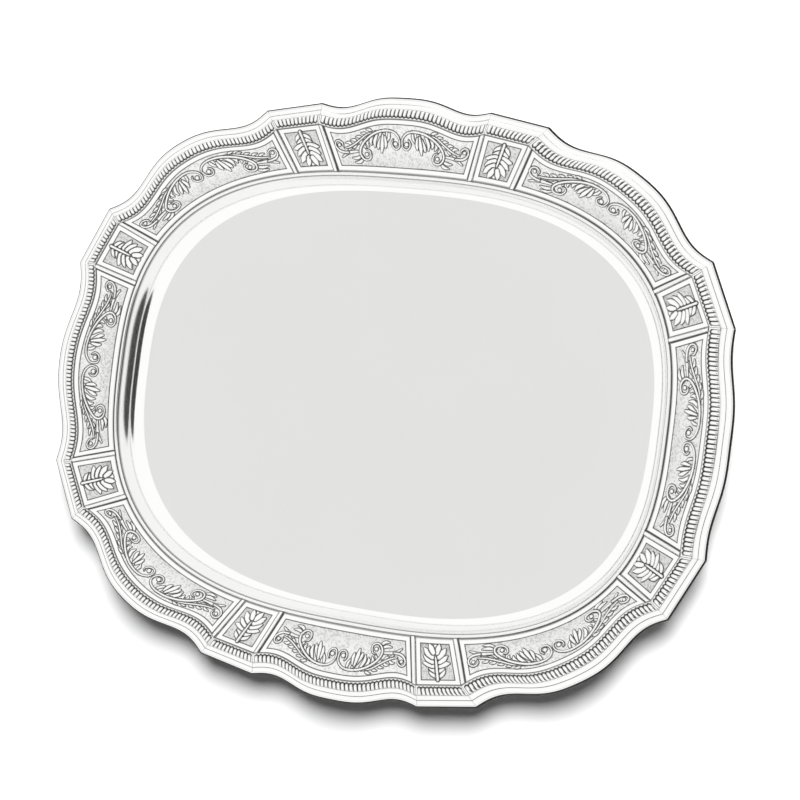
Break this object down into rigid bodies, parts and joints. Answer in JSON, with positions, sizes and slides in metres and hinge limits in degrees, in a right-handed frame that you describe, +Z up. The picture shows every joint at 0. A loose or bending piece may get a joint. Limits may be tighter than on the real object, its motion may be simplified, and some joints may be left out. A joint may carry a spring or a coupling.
{
  "type": "serving tray",
  "caption": "Deep oval serving tray in polished silver, with a sloping border of leaf and scroll panels, a tongue moulding and a waved plain rim.",
  "frame": {"origin": "on the surface the tray stands on, under its middle", "axes": "+X along the length, +Y across the width, +Z up out of the well"},
  "size_m": [0.4004, 0.338, 0.0323],
  "materials": {
    "polished_silver": "polished with fine hairlines",
    "chased_silver": "polished relief over a stippled ground, dark in the recesses",
    "gadroon_silver": "polished tongues, dark between them"
  },
  "bodies": {
    "root": {"tray_plate": "polished_silver", "shoulder_bead": "polished_silver", "scroll_panel_right_end": "chased_silver", "scroll_panel_back_right_corner": "chased_silver", "scroll_panel_back_side": "chased_silver", "scroll_panel_back_left_corner": "chased_silver", "scroll_panel_left_end": "chased_silver", "scroll_panel_front_left_corner": "chased_silver", "scroll_panel_front_side": "chased_silver", "scroll_panel_front_right_corner": "chased_silver", "leaf_panel_right_end_back": "chased_silver", "leaf_panel_back_side_right": "chased_silver", "leaf_panel_back_side_left": "chased_silver", "leaf_panel_left_end_back": "chased_silver", "leaf_panel_left_end_front": "chased_silver", "leaf_panel_front_side_left": "chased_silver", "leaf_panel_front_side_right": "chased_silver", "leaf_panel_right_end_front": "chased_silver", "gadroon_strip_right_end": "gadroon_silver", "gadroon_strip_back_right_corner": "gadroon_silver", "gadroon_strip_back_side": "gadroon_silver", "gadroon_strip_back_left_corner": "gadroon_silver", "gadroon_strip_left_end": "gadroon_silver", "gadroon_strip_front_left_corner": "gadroon_silver", "gadroon_strip_front_side": "gadroon_silver", "gadroon_strip_front_right_corner": "gadroon_silver", "gadroon_strip_right_end_back": "gadroon_silver", "gadroon_strip_back_side_right": "gadroon_silver", "gadroon_strip_back_side_left": "gadroon_silver", "gadroon_strip_left_end_back": "gadroon_silver", "gadroon_strip_left_end_front": "gadroon_silver", "gadroon_strip_front_side_left": "gadroon_silver", "gadroon_strip_front_side_right": "gadroon_silver", "gadroon_strip_right_end_front": "gadroon_silver", "rim_moulding_right_end": "polished_silver", "rim_moulding_back_right_corner": "polished_silver", "rim_moulding_back_side": "polished_silver", "rim_moulding_back_left_corner": "polished_silver", "rim_moulding_left_end": "polished_silver", "rim_moulding_front_left_corner": "polished_silver", "rim_moulding_front_side": "polished_silver", "rim_moulding_front_right_corner": "polished_silver", "rim_moulding_right_end_back": "polished_silver", "rim_moulding_back_side_right": "polished_silver", "rim_moulding_back_side_left": "polished_silver", "rim_moulding_left_end_back": "polished_silver", "rim_moulding_left_end_front": "polished_silver", "rim_moulding_front_side_left": "polished_silver", "rim_moulding_front_side_right": "polished_silver", "rim_moulding_right_end_front": "polished_silver"}
  },
  "joints": []
}
